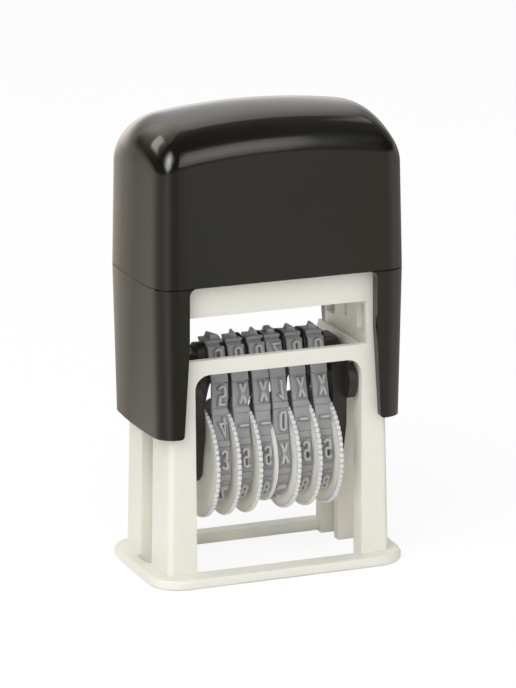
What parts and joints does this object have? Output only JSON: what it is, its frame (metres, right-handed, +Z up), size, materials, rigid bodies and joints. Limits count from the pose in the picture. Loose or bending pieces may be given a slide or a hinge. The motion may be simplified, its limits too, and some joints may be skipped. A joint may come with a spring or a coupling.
{
  "type": "self-inking number stamp",
  "caption": "Self-inking number stamp: a slotted frame, a domed press cover and a carriage of rubber number bands with toothed wheels that turns over onto the paper.",
  "frame": {"origin": "middle of the foot ring's resting face", "axes": "+X along the width to the right as the front is seen, +Y to the back, +Z up"},
  "size_m": [0.0484, 0.028, 0.0838],
  "materials": {
    "frame_plastic": "satin moulded, cream",
    "wheel_plastic": "satin moulded, warm cream",
    "cover_gloss": "polished, warm black",
    "carriage_plastic": "satin moulded, brown black",
    "band_rubber": "matt rubber, mid grey",
    "ink_felt": "ink-soaked felt",
    "steel": "plain drawn steel"
  },
  "bodies": {
    "base": {"frame": "frame_plastic", "ink_tray": "carriage_plastic", "ink_pad": "ink_felt"},
    "cover": {"cap": "cover_gloss", "housing": "cover_gloss", "pivot_pins": "steel", "return_spring": "steel"},
    "carriage": {"left_cheek": "carriage_plastic", "right_cheek": "carriage_plastic", "type_bridge": "carriage_plastic", "wheel_axle": "steel", "axle_caps": "carriage_plastic", "number_band_1": "band_rubber", "number_band_2": "band_rubber", "number_band_3": "band_rubber", "number_band_4": "band_rubber", "number_band_5": "band_rubber", "number_band_6": "band_rubber"},
    "wheel_1": {"number_wheel_1": "wheel_plastic"},
    "wheel_2": {"number_wheel_2": "wheel_plastic"},
    "wheel_3": {"number_wheel_3": "wheel_plastic"},
    "wheel_4": {"number_wheel_4": "wheel_plastic"},
    "wheel_5": {"number_wheel_5": "wheel_plastic"},
    "wheel_6": {"number_wheel_6": "wheel_plastic"}
  },
  "joints": [
    {"name": "cover_press", "type": "slide", "parent": "base", "child": "cover", "axis": [0, 0, -1], "range_m": [0, 0.0228], "stiffness_N_per_m": 350, "springref_m": -0.006, "deforming": ["return_spring"]},
    {"name": "carriage_turn", "type": "hinge", "parent": "cover", "child": "carriage", "pos_m": [0, 0.0006, 0.033], "axis": [1, 0, 0], "range_deg": [0, 180]},
    {"name": "wheel_1_spin", "type": "hinge", "parent": "carriage", "child": "wheel_1", "pos_m": [0, -0.00095, 0.0199], "axis": [1, 0, 0], "continuous": true},
    {"name": "wheel_2_spin", "type": "hinge", "parent": "carriage", "child": "wheel_2", "pos_m": [0, -0.00095, 0.0199], "axis": [1, 0, 0], "continuous": true},
    {"name": "wheel_3_spin", "type": "hinge", "parent": "carriage", "child": "wheel_3", "pos_m": [0, -0.00095, 0.0199], "axis": [1, 0, 0], "continuous": true},
    {"name": "wheel_4_spin", "type": "hinge", "parent": "carriage", "child": "wheel_4", "pos_m": [0, -0.00095, 0.0199], "axis": [1, 0, 0], "continuous": true},
    {"name": "wheel_5_spin", "type": "hinge", "parent": "carriage", "child": "wheel_5", "pos_m": [0, -0.00095, 0.0199], "axis": [1, 0, 0], "continuous": true},
    {"name": "wheel_6_spin", "type": "hinge", "parent": "carriage", "child": "wheel_6", "pos_m": [0, -0.00095, 0.0199], "axis": [1, 0, 0], "continuous": true}
  ],
  "couplings": [
    {"joint": "carriage_turn", "follows": "cover_press", "rad_per_m": 137.78}
  ]
}
